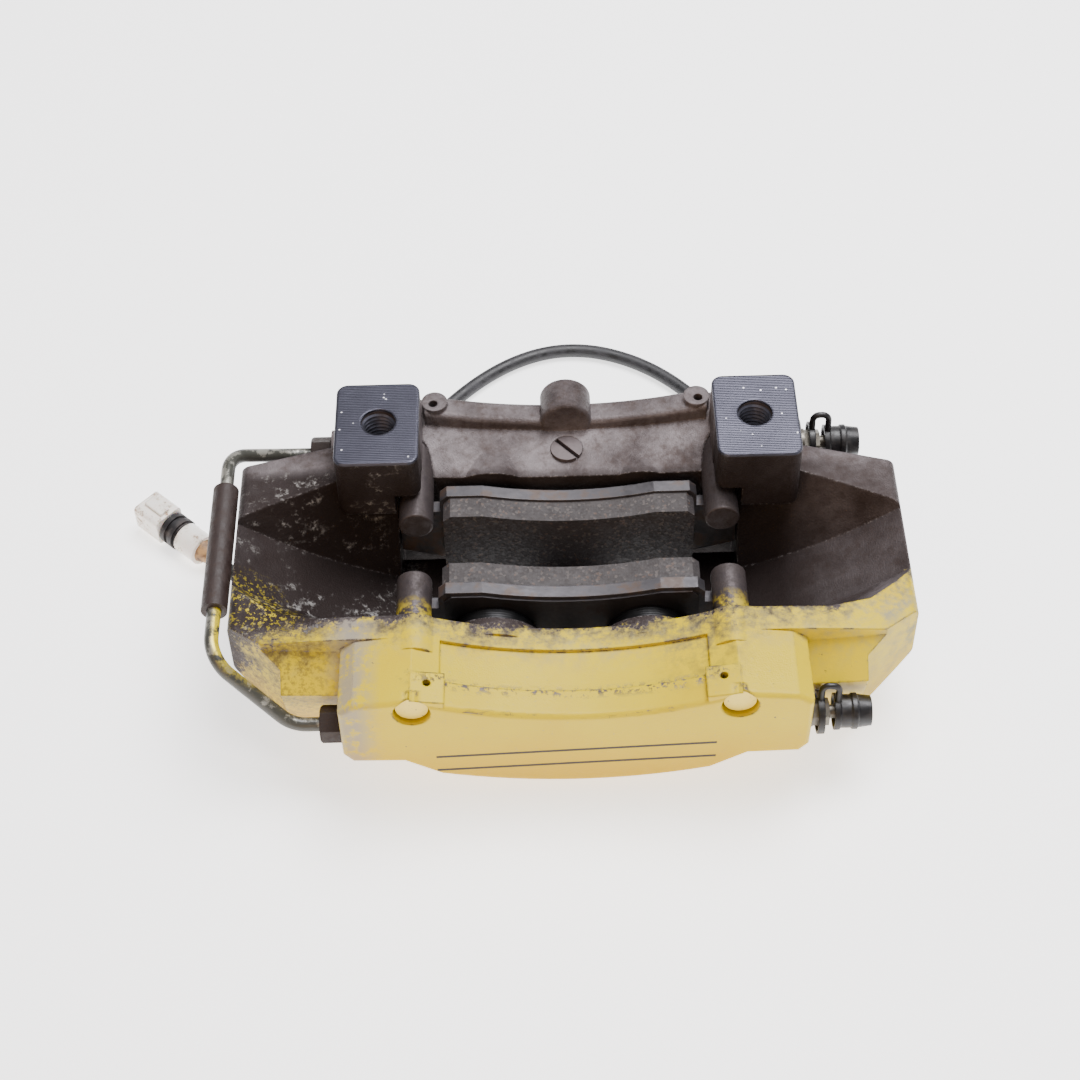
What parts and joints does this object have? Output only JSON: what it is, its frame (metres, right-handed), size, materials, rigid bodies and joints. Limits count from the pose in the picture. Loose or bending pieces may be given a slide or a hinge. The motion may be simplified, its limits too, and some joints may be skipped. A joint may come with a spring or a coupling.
{
  "type": "brake caliper",
  "caption": "Fixed monobloc disc brake caliper with opposed pistons, two pads, a crossover pipe, bleed screws and a pad wear sensor lead.",
  "frame": {"origin": "midway between the two carrier bolt holes, on the plane of the lug faces", "axes": "+X along the caliper through both bolt holes, +Y inboard away from the wheel, +Z out of the lug faces towards the wheel hub"},
  "size_m": [0.2761, 0.2111, 0.0725],
  "materials": {
    "body_paint": null,
    "pin_steel": "dull corroded steel",
    "seal_rubber": "matt",
    "boot_rubber": "matt",
    "piston_aluminium": "anodised",
    "shim_steel": "dull",
    "plate_steel": "dull, light rust",
    "friction": "sintered, matt",
    "spring_steel": "satin",
    "plug_metal": "dirty",
    "pipe_steel": "grey-green coating",
    "sleeve_rubber": "dusty",
    "nut_steel": "rusty",
    "cap_rubber": "matt",
    "sensor_plastic": "matt",
    "cable_sheath": "satin",
    "connector_plastic": "aged white"
  },
  "bodies": {
    "caliper": {"abutment_pin_inboard_left": "pin_steel", "abutment_pin_inboard_right": "pin_steel", "abutment_pin_outboard_left": "pin_steel", "abutment_pin_outboard_right": "pin_steel", "caliper_body": "body_paint", "connector_body": "connector_plastic", "connector_grommet": "connector_plastic", "connector_seal": "cap_rubber", "crossover_pipe": "pipe_steel", "dust_boot_inboard_left": "boot_rubber", "dust_boot_inboard_right": "boot_rubber", "dust_boot_outboard_left": "boot_rubber", "dust_boot_outboard_right": "boot_rubber", "pad_retaining_pin": "pin_steel", "pad_spring_plate": "spring_steel", "passage_plug": "plug_metal", "pin_cover_disc_left": "body_paint", "pin_cover_disc_right": "body_paint", "pipe_nut_inboard": "nut_steel", "pipe_nut_outboard": "nut_steel", "pipe_sleeve": "sleeve_rubber", "piston_seal_inboard_left": "seal_rubber", "piston_seal_inboard_right": "seal_rubber", "piston_seal_outboard_left": "seal_rubber", "piston_seal_outboard_right": "seal_rubber", "retaining_pin_clip": "spring_steel", "sensor_cable": "cable_sheath"},
    "pad_inboard": {"backing_plate_inboard": "plate_steel", "friction_block_inboard": "friction", "damping_shim_inboard": "shim_steel", "wear_sensor_head": "sensor_plastic"},
    "piston_inboard_left_body": {"piston_inboard_left": "piston_aluminium"},
    "piston_inboard_right_body": {"piston_inboard_right": "piston_aluminium"},
    "bleeder_inboard": {"bleed_screw_inboard": "nut_steel"},
    "cap_inboard": {"bleed_cap_inboard": "cap_rubber"},
    "pad_outboard": {"backing_plate_outboard": "plate_steel", "friction_block_outboard": "friction", "damping_shim_outboard": "shim_steel"},
    "piston_outboard_left_body": {"piston_outboard_left": "piston_aluminium"},
    "piston_outboard_right_body": {"piston_outboard_right": "piston_aluminium"},
    "bleeder_outboard": {"bleed_screw_outboard": "nut_steel"},
    "cap_outboard": {"bleed_cap_outboard": "cap_rubber"}
  },
  "joints": [
    {"name": "pad_inboard_slide", "type": "slide", "parent": "caliper", "child": "pad_inboard", "axis": [0, -1, 0], "range_m": [-0.002, 0.01]},
    {"name": "piston_inboard_left_slide", "type": "slide", "parent": "caliper", "child": "piston_inboard_left_body", "axis": [0, -1, 0], "range_m": [-0.002, 0.01]},
    {"name": "piston_inboard_right_slide", "type": "slide", "parent": "caliper", "child": "piston_inboard_right_body", "axis": [0, -1, 0], "range_m": [-0.002, 0.01]},
    {"name": "bleeder_inboard_turn", "type": "hinge", "parent": "caliper", "child": "bleeder_inboard", "pos_m": [0.084, 0.014, -0.031], "axis": [1, 0, 0], "range_deg": [0, 270]},
    {"name": "cap_inboard_pull", "type": "slide", "parent": "caliper", "child": "cap_inboard", "axis": [1, 0, 0], "range_m": [0, 0.014]},
    {"name": "pad_outboard_slide", "type": "slide", "parent": "caliper", "child": "pad_outboard", "axis": [0, 1, 0], "range_m": [-0.0075, 0.003]},
    {"name": "piston_outboard_left_slide", "type": "slide", "parent": "caliper", "child": "piston_outboard_left_body", "axis": [0, 1, 0], "range_m": [-0.0075, 0.003]},
    {"name": "piston_outboard_right_slide", "type": "slide", "parent": "caliper", "child": "piston_outboard_right_body", "axis": [0, 1, 0], "range_m": [-0.0075, 0.003]},
    {"name": "bleeder_outboard_turn", "type": "hinge", "parent": "caliper", "child": "bleeder_outboard", "pos_m": [0.077, -0.095, -0.0445], "axis": [1, 0, 0], "range_deg": [0, 270]},
    {"name": "cap_outboard_pull", "type": "slide", "parent": "caliper", "child": "cap_outboard", "axis": [1, 0, 0], "range_m": [0, 0.014]}
  ],
  "couplings": [
    {"joint": "piston_inboard_left_slide", "follows": "pad_inboard_slide", "ratio": 1},
    {"joint": "piston_inboard_right_slide", "follows": "pad_inboard_slide", "ratio": 1},
    {"joint": "piston_outboard_left_slide", "follows": "pad_outboard_slide", "ratio": 1},
    {"joint": "piston_outboard_right_slide", "follows": "pad_outboard_slide", "ratio": 1}
  ]
}
